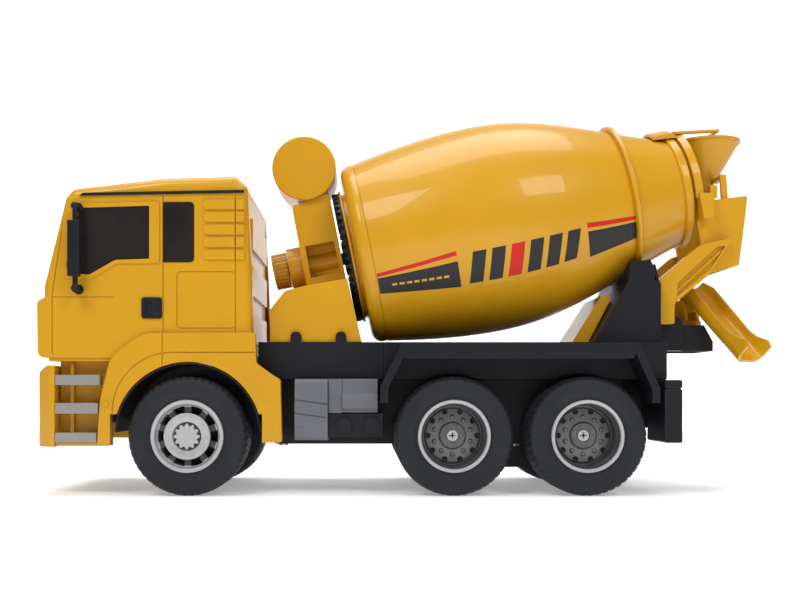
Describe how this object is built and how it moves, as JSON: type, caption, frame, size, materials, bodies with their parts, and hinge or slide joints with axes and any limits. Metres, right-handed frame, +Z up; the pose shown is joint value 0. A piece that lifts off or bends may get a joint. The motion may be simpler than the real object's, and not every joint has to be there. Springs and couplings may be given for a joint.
{
  "type": "toy cement mixer truck",
  "caption": "Remote-control toy cement mixer truck with a steered front axle, driven rear axles, geared tilted drum, feed funnel and swivelling discharge chute.",
  "frame": {"origin": "bottom centre of the whole truck's box, on the ground", "axes": "+X towards the rear, the cab faces -X; +Y the truck's right side; +Z up"},
  "size_m": [0.3416, 0.1124, 0.1801],
  "materials": {
    "yellow_plastic": "semi-gloss moulded",
    "black_plastic": "satin moulded",
    "grey_plastic": "satin moulded",
    "silver_plastic": "silver paint",
    "bright_rim": "bright silver paint",
    "grey_rim": "grey paint",
    "tyre": "soft vinyl",
    "steel": "plain",
    "dark_glazing": "gloss black",
    "lens": "clear-coated silver",
    "battery_sleeve": "shrink sleeve",
    "board": "solder mask",
    "white_nylon": "natural nylon"
  },
  "bodies": {
    "truck": {"air_tanks": "black_plastic", "battery_cover": "black_plastic", "battery_pack": "battery_sleeve", "cab_back_panel": "yellow_plastic", "cab_shell": "yellow_plastic", "cab_steps": "silver_plastic", "cab_windows": "dark_glazing", "chassis_deck": "black_plastic", "chassis_tub": "black_plastic", "control_board": "board", "cradle_brace": "yellow_plastic", "door_handles": "black_plastic", "drive_motor": "steel", "drum_motor": "steel", "drum_tower": "black_plastic", "feed_funnel": "yellow_plastic", "front_beam": "black_plastic", "front_bumper": "yellow_plastic", "fuel_tanks": "grey_plastic", "headlight_lenses": "lens", "hopper_frame": "yellow_plastic", "mirrors": "black_plastic", "mud_flaps": "black_plastic", "pedestal": "yellow_plastic", "rear_fenders": "black_plastic", "roof_strips": "black_plastic", "screws": "steel", "side_boxes": "grey_plastic", "steering_servo": "black_plastic", "water_tank": "yellow_plastic"},
    "knuckle_left": {"knuckle_left": "black_plastic"},
    "knuckle_right": {"knuckle_right": "black_plastic"},
    "wheel_front_left": {"rim_front_left": "bright_rim", "tyre_front_left": "tyre"},
    "wheel_front_right": {"rim_front_right": "bright_rim", "tyre_front_right": "tyre"},
    "tie_rod": {"tie_rod": "black_plastic"},
    "servo_horn": {"servo_horn": "black_plastic"},
    "axle_mid": {"mid_axle": "steel", "axle_gear": "white_nylon", "rim_mid_left": "grey_rim", "rim_mid_right": "grey_rim", "tyre_mid_left": "tyre", "tyre_mid_right": "tyre"},
    "axle_rear": {"rear_axle": "steel", "rim_rear_left": "grey_rim", "rim_rear_right": "grey_rim", "tyre_rear_left": "tyre", "tyre_rear_right": "tyre"},
    "drive_pinion": {"drive_pinion": "white_nylon"},
    "power_switch": {"power_switch": "black_plastic"},
    "drum": {"drum_shell": "yellow_plastic", "drum_blades": "yellow_plastic", "crown_gear": "black_plastic", "drum_knob": "yellow_plastic"},
    "drum_pinion": {"drum_pinion": "white_nylon"},
    "roller_left": {"roller_left": "black_plastic"},
    "roller_right": {"roller_right": "black_plastic"},
    "chute_swivel": {"chute_swivel": "yellow_plastic"},
    "chute": {"discharge_chute": "yellow_plastic"}
  },
  "joints": [
    {"name": "steer_left", "type": "hinge", "parent": "truck", "child": "knuckle_left", "pos_m": [-0.1014, -0.033, 0.027], "axis": [0, 0, 1], "range_deg": [-15, 15]},
    {"name": "steer_right", "type": "hinge", "parent": "truck", "child": "knuckle_right", "pos_m": [-0.1014, 0.033, 0.027], "axis": [0, 0, 1], "range_deg": [-15, 15]},
    {"name": "tie_rod_slide", "type": "slide", "parent": "truck", "child": "tie_rod", "axis": [0, 1, 0], "range_m": [-0.0045, 0.0045]},
    {"name": "horn_turn", "type": "hinge", "parent": "truck", "child": "servo_horn", "pos_m": [-0.0704, 0, 0.027], "axis": [0, 0, 1], "range_deg": [-17, 17]},
    {"name": "wheel_front_left_spin", "type": "hinge", "parent": "knuckle_left", "child": "wheel_front_left", "pos_m": [-0.1014, -0.0405, 0.027], "axis": [0, 1, 0], "continuous": true},
    {"name": "wheel_front_right_spin", "type": "hinge", "parent": "knuckle_right", "child": "wheel_front_right", "pos_m": [-0.1014, 0.0405, 0.027], "axis": [0, 1, 0], "continuous": true},
    {"name": "mid_axle_spin", "type": "hinge", "parent": "truck", "child": "axle_mid", "pos_m": [0.0189, 0, 0.027], "axis": [0, 1, 0], "continuous": true},
    {"name": "rear_axle_spin", "type": "hinge", "parent": "truck", "child": "axle_rear", "pos_m": [0.07905, 0, 0.027], "axis": [0, 1, 0], "continuous": true},
    {"name": "drive_pinion_spin", "type": "hinge", "parent": "truck", "child": "drive_pinion", "pos_m": [0.012, 0, 0.03895], "axis": [0, 1, 0], "continuous": true},
    {"name": "switch_slide", "type": "slide", "parent": "truck", "child": "power_switch", "axis": [1, 0, 0], "range_m": [0, 0.003]},
    {"name": "drum_spin", "type": "hinge", "parent": "truck", "child": "drum", "pos_m": [-0.0208, 0, 0.1158], "axis": [0.9803, 0, 0.1977], "continuous": true},
    {"name": "drum_pinion_spin", "type": "hinge", "parent": "truck", "child": "drum_pinion", "pos_m": [-0.03438, 0, 0.08348], "axis": [0.1977, 0, -0.9803], "continuous": true},
    {"name": "roller_left_spin", "type": "hinge", "parent": "truck", "child": "roller_left", "pos_m": [0.11169, -0.02304, 0.10427], "axis": [0.9803, 0, 0.1977], "continuous": true},
    {"name": "roller_right_spin", "type": "hinge", "parent": "truck", "child": "roller_right", "pos_m": [0.11169, 0.02304, 0.10427], "axis": [0.9803, 0, 0.1977], "continuous": true},
    {"name": "chute_swing", "type": "hinge", "parent": "truck", "child": "chute_swivel", "pos_m": [0.1392, 0, 0.0797], "axis": [0, 0, 1], "range_deg": [-22, 130]},
    {"name": "chute_tilt", "type": "hinge", "parent": "chute_swivel", "child": "chute", "pos_m": [0.1392, 0, 0.09], "axis": [-0.8192, -0.5736, 0], "range_deg": [0, 20]}
  ],
  "couplings": [
    {"joint": "steer_right", "follows": "steer_left", "ratio": 1},
    {"joint": "tie_rod_slide", "follows": "steer_left", "m_per_rad": 0.0164},
    {"joint": "horn_turn", "follows": "steer_left", "ratio": -1.0933},
    {"joint": "drive_pinion_spin", "follows": "mid_axle_spin", "ratio": -2.4},
    {"joint": "drum_pinion_spin", "follows": "drum_spin", "ratio": -3},
    {"joint": "roller_left_spin", "follows": "drum_spin", "ratio": -6.9455},
    {"joint": "roller_right_spin", "follows": "drum_spin", "ratio": -6.9455}
  ]
}
